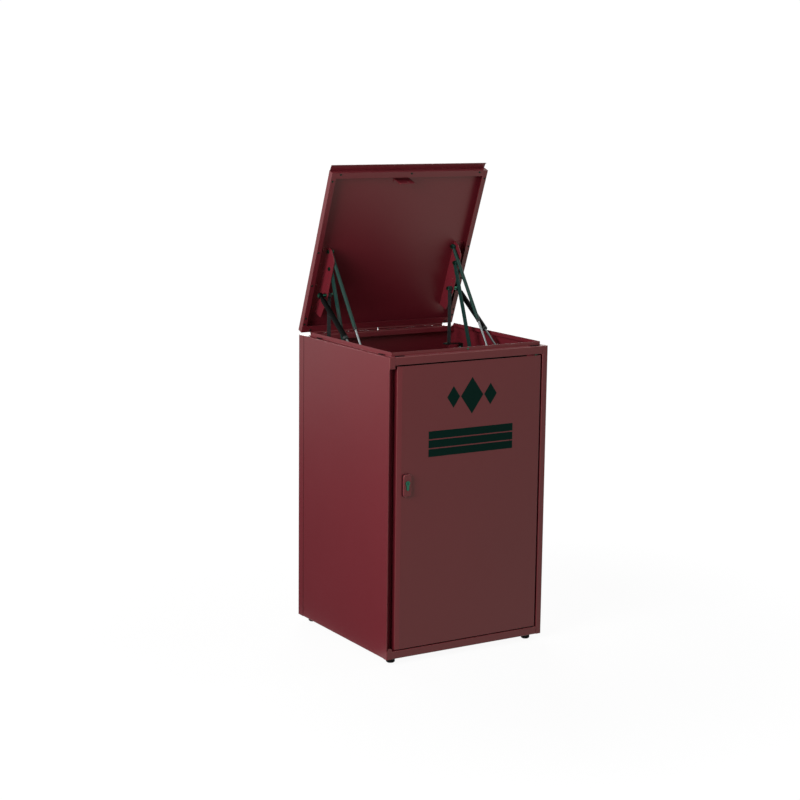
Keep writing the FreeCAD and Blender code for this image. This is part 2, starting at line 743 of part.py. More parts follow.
def link_bolts():
    """The upper bolts of both brackets, for the lift rods and the link bars."""
    head_x = WEB_OUT - BOLT_HEAD_H
    lift_end = LIFT_X + EYE_T / 2 + CLEAR + BOLT_HEAD_H
    link_end = LINK_X + LINK_T / 2 + CLEAR + BOLT_HEAD_H
    left = [bolt(LIFT_PIVOT, head_x, lift_end), bolt(LINK_PIVOT, head_x, link_end)]
    return Part.makeCompound(left + [mirrored(shape) for shape in left])


def spring_bolts():
    """Long bolts through the webs: the gas spring's eye outside, the check strap inside."""
    y, z = closed_point(SPRING_PIVOT)
    eye_out = LEFT + SPRING_X - EYE_T / 2 - CLEAR
    eye_in = LEFT + SPRING_X + EYE_T / 2 + CLEAR
    strap_end = STRAP_X0 + STRAP_W + CLEAR
    long_bolt = bolt(SPRING_PIVOT, eye_out - BOLT_HEAD_H, strap_end + BOLT_HEAD_H)
    outer = rod(SPACER_R, (eye_in, y, z), (WEB_OUT, y, z))
    inner = rod(STRAP_SLEEVE_R, (WEB_IN, y, z), (strap_end, y, z))
    left = joined([long_bolt, outer, inner])
    return Part.makeCompound([left, mirrored(left)])


def hinge_knuckles(x, first):
    """Every second knuckle of one hinge, starting with the given one."""
    pitch = HINGE_L / HINGE_KNUCKLES
    pieces = []
    for i in range(first, HINGE_KNUCKLES, 2):
        x0 = x - HINGE_L / 2 + i * pitch + KNUCKLE_GAP / 2
        pieces.append(rod(KNUCKLE_R, (x0, *HINGE), (x0 + pitch - KNUCKLE_GAP, *HINGE)))
    return pieces


def hinge_gaps(x, first):
    """Room in a leaf for the other leaf's knuckles."""
    pitch = HINGE_L / HINGE_KNUCKLES
    reach = KNUCKLE_R + 2 * CLEAR
    rooms = []
    for i in range(first, HINGE_KNUCKLES, 2):
        x0 = x - HINGE_L / 2 + i * pitch
        rooms.append(rod(reach, (x0 - KNUCKLE_GAP / 2, *HINGE), (x0 + pitch + KNUCKLE_GAP / 2, *HINGE)))
    return rooms


def hinge_leaf(x, first, flap, radius):
    """Leaf and knuckles of one hinge half, bored for its pin."""
    leaf = flap
    for room in hinge_gaps(x, 1 - first):
        leaf = leaf.cut(room)
    half = joined([leaf] + hinge_knuckles(x, first))
    return half.cut(rod(radius, (x - HINGE_L, *HINGE), (x + HINGE_L, *HINGE)))


def hinge_body_leaf(x):
    y = HINGE[0]
    flap = box(x - HINGE_L / 2, x + HINGE_L / 2, y - HINGE_LEAF, y, RIM, RIM + HINGE_LEAF_T)
    return hinge_leaf(x, 0, flap, HINGE_PIN_R)


def hinge_lid_leaf(x):
    z = HINGE[1]
    top = LID_Z1 - BEND - SHEET
    flap = box(x - HINGE_L / 2, x + HINGE_L / 2, LID_REAR, LID_REAR + HINGE_LEAF_T, z, top)
    return swung(hinge_leaf(x, 1, flap, HINGE_PIN_R + FIT))


def hinge_pins():
    half = HINGE_L / 2
    return Part.makeCompound([rod(HINGE_PIN_R, (x - half, *HINGE), (x + half, *HINGE))
                              for x in (-HINGE_X, HINGE_X)])


def lid_buffers():
    inset = BEND + BUFFER_GAP + BUFFER_W / 2
    side_x = -LEFT - LEDGE + inset
    pads = []
    for s in (-1, 1):
        for back in BUFFER_SIDE:
            pads.append(slot_block(BUFFER_L, BUFFER_W, BUFFER_H, (s * side_x, REAR - back, RIM), True))
        front_y = FRONT + LEDGE - inset
        pads.append(slot_block(BUFFER_L, BUFFER_W, BUFFER_H, (s * (BUFFER_FRONT_X - LEDGE / 2), front_y, RIM)))
    return Part.makeCompound(pads)


# Rods and springs, drawn hanging straight down from their upper pivot and turned to their line
def body_point(place):
    return (REAR - place[0], RIM + place[1])


def span(top, foot_point):
    """Length of a line and its turn about X from hanging straight down."""
    dy = foot_point[0] - top[0]
    dz = foot_point[1] - top[1]
    return math.hypot(dy, dz), math.degrees(math.atan2(dy, -dz))


def hung(shape, top, foot_point):
    placed = shape.copy()
    placed.rotate(V(0, 0, 0), V(1, 0, 0), span(top, foot_point)[1])
    placed.translate(V(0, *top))
    return placed


def eye(x, drop, radius, bore):
    ring = rod(radius, (x - EYE_T / 2, 0, -drop), (x + EYE_T / 2, 0, -drop))
    return ring.cut(rod(bore, (x - EYE_T, 0, -drop), (x + EYE_T, 0, -drop))) if bore else ring


def lift_line():
    return lid_point(LIFT_PIVOT), body_point(TRAY_LIFT)


def lift_rod_tube():
    """Upper tube of the lift rod, with the eye that turns on the bracket's bolt."""
    x = LIFT_X
    low = EYE_NECK + LIFT_TUBE_L
    neck = rod(LIFT_ROD_R, (x, 0, -EYE_R + 1), (x, 0, -EYE_NECK))
    tube = rod(LIFT_TUBE_R, (x, 0, -EYE_NECK), (x, 0, -low))
    bore = rod(LIFT_ROD_R + FIT, (x, 0, -low + LIFT_ROD_IN), (x, 0, -low - 1))
    body = joined([eye(x, 0, EYE_R, 0), neck, tube]).cut(bore)
    body = body.cut(rod(BOLT_R + FIT, (x - EYE_T, 0, 0), (x + EYE_T, 0, 0)))
    return hung(body, *lift_line())


def lift_rod_end():
    """Bright rod in the tube's end, with the stud that bears on the tray's flange."""
    x = LIFT_X
    length = span(*lift_line())[0]
    start = EYE_NECK + LIFT_TUBE_L - LIFT_ROD_IN
    shaft = rod(LIFT_ROD_R, (x, 0, -start), (x, 0, -length))
    stud = rod(SPACER_R, (x, 0, -length), (TRAY_X - CLEAR, 0, -length))
    return hung(joined([shaft, eye(x, length, EYE_R, 0), stud]), *lift_line())


def link_line():
    return lid_point(LINK_PIVOT), body_point(TRAY_LINK)


def link_bar():
    """Flat bar with a long slot at its foot, so the tray can drop past the bar's reach."""
    length = span(*link_line())[0]
    half = LINK_W / 2
    low = length + LINK_SLOT / 2
    corners = [(-half, half), (half, half), (half, -low - half), (-half, -low - half)]
    x0 = LINK_X - LINK_T / 2
    bar = flat_face(corners, [half * NEARLY_ROUND] * 4, along_x(x0)).extrude(V(LINK_T, 0, 0))
    bar = bar.cut(rod(BOLT_R + FIT, (x0 - 1, 0, 0), (x0 + LINK_T + 1, 0, 0)))
    slot_r = BOLT_R + CLEAR
    slot_top = length - LINK_SLOT / 2
    slot = [(-slot_r, -slot_top), (slot_r, -slot_top), (slot_r, -low), (-slot_r, -low)]
    room = flat_face(slot, [slot_r * NEARLY_ROUND] * 4, along_x(x0 - 1)).extrude(V(LINK_T + 2, 0, 0))
    return hung(bar.cut(room), *link_line())


def spring_line():
    return lid_point(SPRING_PIVOT), body_point(SPRING_FOOT)


def gas_spring_tube():
    x = LEFT + SPRING_X
    low = SPRING_NECK + SPRING_TUBE_L
    neck = rod(SPRING_NECK_R, (x, 0, -SPRING_EYE_R + 2), (x, 0, -SPRING_NECK))
    tube = rod(SPRING_TUBE_R, (x, 0, -SPRING_NECK), (x, 0, -low))
    body = joined([eye(x, 0, SPRING_EYE_R, 0), neck, tube])
    body = body.cut(rod(BOLT_R + FIT, (x - EYE_T, 0, 0), (x + EYE_T, 0, 0)))
    bore = rod(SPRING_ROD_R + FIT, (x, 0, -SPRING_NECK - SPRING_ROD_IN), (x, 0, -low - 1))
    return hung(body.cut(bore), *spring_line())


def gas_spring_rod():
    x = LEFT + SPRING_X
    length = span(*spring_line())[0]
    start = SPRING_NECK + SPRING_TUBE_L - SPRING_ROD_IN
    shaft = rod(SPRING_ROD_R, (x, 0, -start), (x, 0, SPRING_EYE_R - 1 - length))
    return hung(joined([shaft, eye(x, length, SPRING_EYE_R, 0)]), *spring_line())


def gas_spring_foot():
    """Plate and boss on the side wall, against which the spring's lower eye bears."""
    y, z = body_point(SPRING_FOOT)
    wall = LEFT + SHEET
    half = SPRING_PLATE / 2
    corners = [(y - half, z - half), (y + half, z - half), (y + half, z + half), (y - half, z + half)]
    plate = flat_face(corners, [SPRING_PLATE_R] * 4, along_x(wall)).extrude(V(SPRING_PLATE_T, 0, 0))
    boss = rod(SPRING_BOSS_R, (wall, y, z), (LEFT + SPRING_X - EYE_T / 2 - CLEAR, y, z))
    return joined([plate, boss])


def check_strap():
    """Webbing strap, looped on the spring bolt's sleeve and screwed to the anchor below."""
    y, z = lid_point(SPRING_PIVOT)
    x0 = STRAP_X0
    sleeve = STRAP_SLEEVE_R + CLEAR
    outer = sleeve + STRAP_T
    x1 = x0 + STRAP_W
    loop = rod(outer, (x0, y, z), (x1, y, z)).cut(rod(sleeve, (x0 - 1, y, z), (x1 + 1, y, z)))
    foot_z = RIM + STRAP_FOOT
    half = STRAP_T / 2
    tail = box(x0, x1, y - half, y + half, foot_z + half, z - sleeve - half)
    tab = box(x0, x1, y - half, y + STRAP_TAB, foot_z, foot_z + STRAP_T)
    return joined([loop, tail, tab])


def strap_anchor():
    """Angle on the side wall with an arm out to the strap's foot."""
    y = lid_point(SPRING_PIVOT)[0]
    top = RIM + STRAP_FOOT
    wall = LEFT + SHEET
    y0 = y + STRAP_TAB / 2 - ANCHOR_D / 2
    arm = box(wall, STRAP_X0 + STRAP_W, y0, y0 + ANCHOR_D, top - ANCHOR_T, top)
    leg = box(wall, wall + ANCHOR_T, y0, y0 + ANCHOR_D, top - ANCHOR_LEG, top)
    return joined([arm, leg])


# The drop tray
def bracket_places():
    end = -LEFT - TRAY_SIDE - TRAY_ROD_END
    return [-end + 2 * end * i / (TRAY_BRACKETS - 1) for i in range(TRAY_BRACKETS)]


def drop_tray():
    y, z = TRAY_AXIS
    top = z + TRAY_CURL_R
    front = REAR - TRAY_FRONT
    x = TRAY_X
    plate = [(front, top - TRAY_LIP), (front, top), (y, top)]
    floor = folded(plate, along_x(x), V(-2 * x, 0, 0))
    flange_end = y - 2 * TRAY_CURL_R
    flanges = [box(s - SHEET / 2, s + SHEET / 2, front + SHEET + BEND, flange_end, top - SHEET, top + TRAY_FLANGE)
               for s in (x + SHEET / 2, -x - SHEET / 2)]
    curl = rod(TRAY_CURL_R, (x, y, z), (-x, y, z))
    tray = joined([floor, curl] + flanges)
    tray = tray.cut(rod(TRAY_ROD_R + FIT, (x - 1, y, z), (-x + 1, y, z)))
    room = TRAY_CURL_R + CLEAR
    for place in bracket_places():
        half = TRAY_BRACKET_T / 2 + 2 * CLEAR
        tray = tray.cut(box(place - half, place + half, y - 2 * room, y + room, z - room, top + 1))
    return tray


def tray_link_studs():
    """Studs on the tray's flanges, behind the slots of the link bars."""
    y, z = body_point(TRAY_LINK)
    stud = rod(SPACER_R, (LINK_X + LINK_T / 2 + CLEAR, y, z), (TRAY_X, y, z))
    return Part.makeCompound([stud, mirrored(stud)])


def tray_hinge_rod():
    y, z = TRAY_AXIS
    return rod(TRAY_ROD_R, (TRAY_X, y, z), (-TRAY_X, y, z))


def tray_hinge_brackets():
    y, z = TRAY_AXIS
    back = REAR - SHEET
    half_t = TRAY_BRACKET_T / 2
    half_h = TRAY_BRACKET_H / 2
    brackets = []
    for x in bracket_places():
        ear = rod(TRAY_CURL_R, (x - half_t, y, z), (x + half_t, y, z))
        corners = [(y, z - TRAY_CURL_R), (back, z - half_h), (back, z + half_h), (y, z + TRAY_CURL_R)]
        web = flat_face(corners, [0] * 4, along_x(x - half_t)).extrude(V(TRAY_BRACKET_T, 0, 0))
        bore = rod(TRAY_ROD_R, (x - half_t - 1, y, z), (x + half_t + 1, y, z))
        brackets.append(joined([ear, web]).cut(bore))
    return Part.makeCompound(brackets)


# The lid latch in the front rail
def latch_case():
    top = RIM - SHEET
    y0 = LATCH_Y
    y1 = FRONT + LEDGE + SHEET
    case = box(LATCH_X - LATCH_W / 2, LATCH_X + LATCH_W / 2, y0, y1, top - LATCH_H, top)
    rims = [e for e in case.Edges if e.BoundBox.ZLength > LATCH_H / 2]
    case = case.makeFillet(LATCH_ROUND, rims)
    return case.cut(rod(LATCH_R + FIT, (LATCH_X, y0 + SHEET, LATCH_Z), (LATCH_X, y1 + 1, LATCH_Z)))


def latch_bolt():
    y0 = LATCH_Y + 2 * SHEET
    nose = TONGUE_Y - LATCH_NOSE
    pin = rod(LATCH_R, (LATCH_X, y0, LATCH_Z), (LATCH_X, nose, LATCH_Z))
    return pin.makeChamfer(LATCH_R / 3, [e for e in pin.Edges if e.BoundBox.YMin > nose - 0.01])


def pieces():
    """Every piece by its name, at rest."""
    made = {
        "left_side_panel": left_side_panel(),
        "right_side_panel": right_side_panel(),
        "rear_panel": rear_panel(),
        "top_front_rail": top_front_rail(),
        "bottom_front_rail": bottom_front_rail(),
        "floor_pan": floor_pan(),
        "foot_nuts": foot_nuts(),
        "door_panel": door_panel(),
        "door_stiffener": door_stiffener(),
        "door_hinge_pins": door_hinge_pins(),
        "door_hinge_bushes": door_hinge_bushes(),
        "lock_escutcheon": lock_escutcheon(),
        "lock_gasket": lock_gasket(),
        "lock_cylinder": lock_cylinder(),
        "lock_plug": lock_plug(),
        "lock_cam": lock_cam(),
        "lock_carrier": lock_carrier(),
        "lid_cover": swung(lid_cover()),
        "lid_frame": swung(lid_frame()),
        "lid_frame_screws": swung(lid_frame_screws()),
        "lid_latch_tongue": swung(lid_latch_tongue()),
        "bracket_rivets": bracket_rivets(),
        "link_bolts": swung(link_bolts()),
        "spring_bolts": swung(spring_bolts()),
        "hinge_pins": hinge_pins(),
        "lid_buffers": lid_buffers(),
        "drop_tray": drop_tray(),
        "tray_link_studs": tray_link_studs(),
        "tray_hinge_rod": tray_hinge_rod(),
        "tray_hinge_brackets": tray_hinge_brackets(),
        "latch_case": latch_case(),
        "latch_bolt": latch_bolt(),
    }
    for name, place in foot_places().items():
        made["foot_" + name] = foot(*place)
    for side, way in (("left", -1), ("right", 1)):
        made["hinge_body_leaf_" + side] = hinge_body_leaf(way * HINGE_X)
        made["hinge_lid_leaf_" + side] = hinge_lid_leaf(way * HINGE_X)
    paired = {
        "lid_bracket": swung(lid_bracket()),
        "lift_rod_tube": lift_rod_tube(),
        "lift_rod_end": lift_rod_end(),
        "link_bar": link_bar(),
        "gas_spring_tube": gas_spring_tube(),
        "gas_spring_rod": gas_spring_rod(),
        "gas_spring_foot": gas_spring_foot(),
        "check_strap": check_strap(),
        "strap_anchor": strap_anchor(),
    }
    for name, shape in paired.items():
        made[name + "_left"] = shape
        made[name + "_right"] = mirrored(shape)
    return made


def centred(made):
    """Set the whole box's middle over the origin, front to back."""
    box_all = Part.makeCompound(list(made.values())).BoundBox
    shift = V(0, -(box_all.YMin + box_all.YMax) / 2, 0)
    for shape in made.values():
        shape.translate(shift)
    return shift.y


def main():
    made = pieces()
    shift = centred(made)
    os.makedirs("parts", exist_ok=True)
    for name, shape in made.items():
        shape.exportStep(os.path.join("parts", name + ".step"))
    print(len(made), "pieces, set back by", round(shift, 4))
    return made, shift


if __name__ == "__main__":
    main()
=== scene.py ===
"""Looks of the parcel box: finishes, door print, webbing straps, door seal, seam lines of painted shade and small
screws.
"""
import json
import math

import bmesh
import bpy
from mathutils import Matrix, Vector


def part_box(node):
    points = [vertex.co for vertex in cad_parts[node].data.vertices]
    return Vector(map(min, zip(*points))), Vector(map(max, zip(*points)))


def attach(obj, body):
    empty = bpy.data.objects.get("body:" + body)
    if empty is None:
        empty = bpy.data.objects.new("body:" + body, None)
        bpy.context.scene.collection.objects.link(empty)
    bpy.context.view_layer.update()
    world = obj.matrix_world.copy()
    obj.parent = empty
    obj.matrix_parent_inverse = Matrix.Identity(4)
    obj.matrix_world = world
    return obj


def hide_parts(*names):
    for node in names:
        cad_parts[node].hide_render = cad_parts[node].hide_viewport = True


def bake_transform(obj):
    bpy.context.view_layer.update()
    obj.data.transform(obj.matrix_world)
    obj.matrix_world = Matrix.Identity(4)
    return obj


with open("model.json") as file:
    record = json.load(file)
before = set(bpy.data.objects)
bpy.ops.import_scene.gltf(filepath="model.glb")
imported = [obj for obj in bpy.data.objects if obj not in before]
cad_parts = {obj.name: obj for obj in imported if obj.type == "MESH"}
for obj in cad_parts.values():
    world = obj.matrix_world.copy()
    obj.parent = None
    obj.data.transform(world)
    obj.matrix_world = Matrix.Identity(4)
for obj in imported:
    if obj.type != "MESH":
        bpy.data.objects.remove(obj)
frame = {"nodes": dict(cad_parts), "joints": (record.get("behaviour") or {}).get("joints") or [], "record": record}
NODES = frame["nodes"]
JOINTS = {joint["name"]: joint for joint in frame["joints"]}
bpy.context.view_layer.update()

MM = 0.001
SIDES = ("left", "right")

# Camera, found from the corners of the body in the photograph
CAMERA_AT = (-3.417, -5.4332, 1.976)
CAMERA_TURN = math.radians(-31.49)
CAMERA_TILT = math.radians(90 - 9.92)
CAMERA_ROLL = math.radians(0.69)
CAMERA_LENS = 81.6
SENSOR = 36.0


def low(node):
    """Lowest corner of a CAD node at rest."""
    return Vector(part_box(node)[0])


def high(node):
    """Highest corner of a CAD node at rest."""
    return Vector(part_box(node)[1])


# Places on the body and the open lid that the pieces below are set out from
BODY_LEFT = low("left_side_panel").x
BODY_RIGHT = high("right_side_panel").x
RIM = high("rear_panel").z
DOOR_FACE = low("door_panel").y
LID_PIN = Vector(JOINTS["lid_hinge"]["pos_m"])
LID_OPEN = math.radians(JOINTS["lid_hinge"]["range_deg"][1])
LID_TURN = Matrix.Rotation(-LID_OPEN, 3, "X")
LID_UNDER = LID_TURN @ Vector((0, 0, -1))
LID_BACK = LID_TURN @ Vector((0, 1, 0))


def linear(code):
    """Linear colour of an sRGB hex value."""
    parts = [int(code[i:i + 2], 16) / 255 for i in (1, 3, 5)]
    return tuple(c / 12.92 if c <= 0.04045 else ((c + 0.055) / 1.055) ** 2.4 for c in parts) + (1.0,)


def put(tree, kind, links=None, **settings):
    """Adds a shader node: settings are its properties, links its sockets' values or sources."""
    made = tree.nodes.new("ShaderNode" + kind)
    for name, value in settings.items():
        setattr(made, name, value)
    for socket, value in (links or {}).items():
        if isinstance(value, bpy.types.NodeSocket):
            tree.links.new(value, made.inputs[socket])
        else:
            made.inputs[socket].default_value = value
    return made


def new_material(name):
    """A new material, with its node tree and its shader."""
    material = bpy.data.materials.new(name)
    material.use_nodes = True
    tree = material.node_tree
    return material, tree, tree.nodes["Principled BSDF"]


def set_shader(shader, tree, **values):
    """Sets the shader's sockets, named with _ for spaces."""
    for name, value in values.items():
        socket = shader.inputs[name.replace("_", " ")]
        if isinstance(value, bpy.types.NodeSocket):
            tree.links.new(value, socket)
        else:
            socket.default_value = value


# Sizes of the finishes' patterns
PEEL = 4 * MM
SHEET_WAVE = 250 * MM
WAVE_DEPTH = 12 * MM
SKIN_DEPTH = 0.3 * MM
EDGE_ROUND = 1 * MM
BLOOM = 18 * MM
RIB_DEPTH = 0.6 * MM
INK_SPECK = 3 * MM

# Light comes back a little warm from the powder coats
WARM_SHEEN = (1.0, 0.95, 0.78, 1.0)

# The wave texture repeats once in this length at a scale of 1
WAVE_PERIOD = 0.314


def powder_coat(name, deep, pale, rough, specular):
    """Polyester powder coat, baked on sheet steel: a fine orange-peel skin with a soft satin sheen.

    The real peel is about 1 mm across. It is drawn 4 mm across, so that it shows at this distance.
    The sheet under it is a little uneven over about 250 mm, which bends the sheen.
    """
    material, tree, shader = new_material(name)
    place = put(tree, "TexCoord").outputs["Object"]
    peel = put(tree, "TexNoise", {"Vector": place, "Scale": 1 / PEEL, "Detail": 2.0, "Roughness": 0.55})
    cloud = put(tree, "TexNoise", {"Vector": place, "Scale": 1 / SHEET_WAVE, "Detail": 3.0})
    speck = put(tree, "Mix", {"Factor": 0.25, "A": cloud.outputs["Color"], "B": peel.outputs["Color"]},
                data_type="RGBA")
    tone = put(tree, "Mix", {"Factor": speck.outputs["Result"], "A": linear(deep), "B": linear(pale)},
               data_type="RGBA")
    sheen = put(tree, "MapRange", {"Value": peel.outputs["Fac"], "To Min": rough - 0.05,
                                   "To Max": rough + 0.05})
    edge = put(tree, "Bevel", {"Radius": EDGE_ROUND}, samples=4)
    wave = put(tree, "Bump", {"Height": cloud.outputs["Fac"], "Strength": 0.08, "Distance": WAVE_DEPTH,
                              "Normal": edge.outputs["Normal"]})
    skin = put(tree, "Bump", {"Height": peel.outputs["Fac"], "Strength": 0.12, "Distance": SKIN_DEPTH,
                              "Normal": wave.outputs["Normal"]})
    set_shader(shader, tree, Base_Color=tone.outputs["Result"], Roughness=sheen.outputs["Result"],
               Specular_IOR_Level=specular, Specular_Tint=WARM_SHEEN, Normal=skin.outputs["Normal"])
    return material


def plated(name, deep, pale, rough, grain):
    """Zinc or nickel plating on steel: a metal with faint cloudy crystals."""
    material, tree, shader = new_material(name)
    place = put(tree, "TexCoord").outputs["Object"]
    cloud = put(tree, "TexNoise", {"Vector": place, "Scale": 1 / (grain * MM), "Detail": 4.0})
    tone = put(tree, "Mix", {"Factor": cloud.outputs["Fac"], "A": linear(deep), "B": linear(pale)},
               data_type="RGBA")
    sheen = put(tree, "MapRange", {"Value": cloud.outputs["Fac"], "To Min": rough - 0.06,
                                   "To Max": rough + 0.08})
    skin = put(tree, "Bump", {"Height": cloud.outputs["Fac"], "Strength": 0.08, "Distance": SKIN_DEPTH})
    set_shader(shader, tree, Base_Color=tone.outputs["Result"], Roughness=sheen.outputs["Result"],
               Metallic=1.0, Normal=skin.outputs["Normal"])
    return material


def moulded(name, deep, pale, rough, grain, specular=0.3):
    """Moulded rubber or nylon: dull, with a fine mould grain and a little bloom."""
    material, tree, shader = new_material(name)
    place = put(tree, "TexCoord").outputs["Object"]
    bloom = put(tree, "TexNoise", {"Vector": place, "Scale": 1 / BLOOM, "Detail": 3.0})
    pits = put(tree, "TexVoronoi", {"Vector": place, "Scale": 1 / (grain * MM)})
    tone = put(tree, "Mix", {"Factor": bloom.outputs["Fac"], "A": linear(deep), "B": linear(pale)},
               data_type="RGBA")
    skin = put(tree, "Bump", {"Height": pits.outputs["Distance"], "Strength": 0.25,
                              "Distance": SKIN_DEPTH})
    set_shader(shader, tree, Base_Color=tone.outputs["Result"], Roughness=rough,
               Specular_IOR_Level=specular, Normal=skin.outputs["Normal"])
    return material


def woven(name, dark, light, pitch):
    """Polyester webbing: ribs across the strap and a thread check, with a soft fibre sheen."""
    material, tree, shader = new_material(name)
    place = put(tree, "TexCoord").outputs["Object"]
    threads = {"Vector": place, "Scale": WAVE_PERIOD / (pitch * MM), "Distortion": 0.4}
    across = put(tree, "TexWave", threads, bands_direction="Z")
    along = put(tree, "TexWave", threads, bands_direction="X")
    check = put(tree, "Math", {0: across.outputs["Fac"], 1: along.outputs["Fac"]}, operation="MULTIPLY")
    tone = put(tree, "Mix", {"Factor": check.outputs["Value"], "A": linear(dark), "B": linear(light)},
               data_type="RGBA")
    skin = put(tree, "Bump", {"Height": check.outputs["Value"], "Strength": 0.6, "Distance": RIB_DEPTH})
    set_shader(shader, tree, Base_Color=tone.outputs["Result"], Roughness=0.85, Sheen_Weight=0.05,
               Normal=skin.outputs["Normal"])
    return material


def printed(name, deep, thin):
    """Screen-printed ink on the powder coat: flat, a little uneven where the screen laid it thin."""
    material, tree, shader = new_material(name)
    place = put(tree, "TexCoord").outputs["Object"]
    speck = put(tree, "TexNoise", {"Vector": place, "Scale": 1 / INK_SPECK, "Detail": 3.0})
    tone = put(tree, "Mix", {"Factor": speck.outputs["Fac"], "A": linear(deep), "B": linear(thin)},
               data_type="RGBA")
    sheen = put(tree, "MapRange", {"Value": speck.outputs["Fac"], "To Min": 0.42, "To Max": 0.55})
    set_shader(shader, tree, Base_Color=tone.outputs["Result"], Roughness=sheen.outputs["Result"],
               Specular_IOR_Level=0.03)
    return material


# Wine-red coat of all sheets: satin, with a pale sheen where it is seen at a slant
WINE_COAT = powder_coat("wine_powder_coat", "#661824", "#6f1d29", rough=0.42, specular=0.52)
# Dark teal coat of the rods and bars: a dull gloss along them
TEAL_COAT = powder_coat("dark_teal_coat", "#12312d", "#1a3c37", rough=0.38, specular=0.2)
# Black coat of the gas springs: almost without gloss
BLACK_COAT = powder_coat("black_cylinder_coat", "#040506", "#090a0b", rough=0.34, specular=0.05)
# Dull zinc: dark grey, clouded
ZINC = plated("dull_zinc", "#2c3835", "#3b4a45", rough=0.42, grain=6.0)
# Passivated steel: green, clouded
PLATED = plated("passivated_steel", "#1f4a3c", "#37715a", rough=0.36, grain=4.0)
# Ground steel of the rod ends: bright streaks of light
BRIGHT = plated("ground_bright_steel", "#6c7071", "#808485", rough=0.34, grain=3.0)
# Blackened steel of the lid frame's screws: dark points on the coat
SCREW_STEEL = plated("blackened_screw_steel", "#0e1c18", "#1d3029", rough=0.4, grain=4.0)
# Black rubber: dull and dark from every side
RUBBER = moulded("black_rubber", "#060607", "#0e0e0f", rough=0.75, grain=0.9, specular=0.12)
# Dark nylon: a soft gloss
NYLON = moulded("dark_nylon", "#101615", "#19211f", rough=0.5, grain=0.7)
# Webbing: dark ribs, without gloss
WEBBING = woven("dark_webbing", "#06090a", "#141a1b", pitch=2.0)
# Bonded thread: paler than the webbing that it sews
THREAD = moulded("bonded_thread", "#39474a", "#48575a", rough=0.7, grain=0.5)
# Dark seam line: the joint, with the shade of its narrow gap painted in; dull and darker than the coat
SEAM_SHADE = moulded("seam_line_painted_shade", "#16080a", "#20090c", rough=0.7, grain=0.9, specular=0.1)
# Ink: flat dark green, duller than the coat
INK = printed("dark_green_ink", "#0c2620", "#13322b")

FINISH = {
    "red_coat": WINE_COAT, "dark_coat": TEAL_COAT, "black_coat": BLACK_COAT, "zinc_steel": ZINC,
    "plated_steel": PLATED, "bright_steel": BRIGHT, "black_rubber": RUBBER, "dark_nylon": NYLON,
    "webbing": WEBBING,
}

for part in frame["record"]["subparts"]:
    skins = NODES[part["node"]].data.materials
    skins.clear()
    skins.append(FINISH[part["material_slot"]])


def to_object(name, work, material):
    """Turns a finished bmesh into an object of the scene."""
    mesh = bpy.data.meshes.new(name)
    work.to_mesh(mesh)
    work.free()
    mesh.materials.append(material)
    made = bpy.data.objects.new(name, mesh)
    bpy.context.scene.collection.objects.link(made)
    return made


def add_piece(name, work, body, slot, material=None):
    """Makes a piece of a finished bmesh. It rides on a CAD body, or on none."""
    bmesh.ops.recalc_face_normals(work, faces=work.faces)
    piece = to_object(name, work, material or FINISH[slot])
    if body:
        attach(piece, body)
    return piece


# Vertices nearer than this are one
WELD = 0.01 * MM


def islands(node):
    """The middle of each separate solid in a CAD node."""
    work = bmesh.new()
    work.from_mesh(NODES[node].data)
    bmesh.ops.remove_doubles(work, verts=work.verts, dist=WELD)
    waiting = set(work.verts)
    middles = []
    while waiting:
        reached = {waiting.pop()}
        border = list(reached)
        while border:
            near = {edge.other_vert(vert) for vert in border for edge in vert.link_edges} & waiting
            waiting -= near
            reached |= near
            border = list(near)
        points = [vert.co for vert in reached]
        lowest = Vector([min(p[i] for p in points) for i in range(3)])
        highest = Vector([max(p[i] for p in points) for i in range(3)])
        middles.append((lowest + highest) / 2)
    work.free()
    return sorted(middles, key=tuple)


def lathe(work, profile, at, axis, segments):
    """Turned form: profile of (radius, height) from the foot to the top, about an axis."""
    turn = Vector(axis).to_track_quat("Z", "Y")
    rings = []
    for radius, height in profile:
        count = segments if radius > 0 else 1
        angles = [2 * math.pi * i / segments for i in range(count)]
        spots = [Vector((radius * math.cos(a), radius * math.sin(a), height)) for a in angles]
        rings.append([work.verts.new(Vector(at) + turn @ spot) for spot in spots])
    for lower, upper in zip(rings, rings[1:]):
        for i in range(segments):
            corners = [lower[i % len(lower)], lower[(i + 1) % len(lower)],
                       upper[(i + 1) % len(upper)], upper[i % len(upper)]]
            face = work.faces.new(list(dict.fromkeys(corners)))
            face.smooth = True


# Forms of heads, from the foot to the top, in shares of their radius and height
PAN_HEAD = ((0.0, 0.0), (1.0, 0.0), (1.0, 0.35), (0.93, 0.68), (0.74, 0.92), (0.5, 1.0), (0.44, 0.95),
            (0.42, 0.45), (0.0, 0.45))
DOME_HEAD = ((0.0, 0.0), (1.0, 0.0), (0.98, 0.25), (0.84, 0.62), (0.55, 0.9), (0.25, 0.99), (0.0, 1.0))
HEAD_SEGMENTS = 24

# Radius and height of each kind of head
FRAME_HEAD = (3.6 * MM, 1.9 * MM)
RIVET_HEAD = (4.0 * MM, 2.0 * MM)
LEDGE_HEAD = (3.4 * MM, 0.5 * MM)
LEAF_HEAD = (3.4 * MM, 0.9 * MM)
WALL_HEAD = (3.4 * MM, 1.8 * MM)
RAIL_HEAD = (3.6 * MM, 1.8 * MM)
STRAP_HEAD = (4.2 * MM, 2.2 * MM)


def add_heads(name, places, axis, head, body, slot="plated_steel", form=PAN_HEAD, material=None):
    """A group of like screw or rivet heads."""
    work = bmesh.new()
    radius, height = head
    profile = [(r * radius, h * height) for r, h in form]
    for place in places:
        lathe(work, profile, place, axis, HEAD_SEGMENTS)
    return add_piece(name, work, body, slot, material)


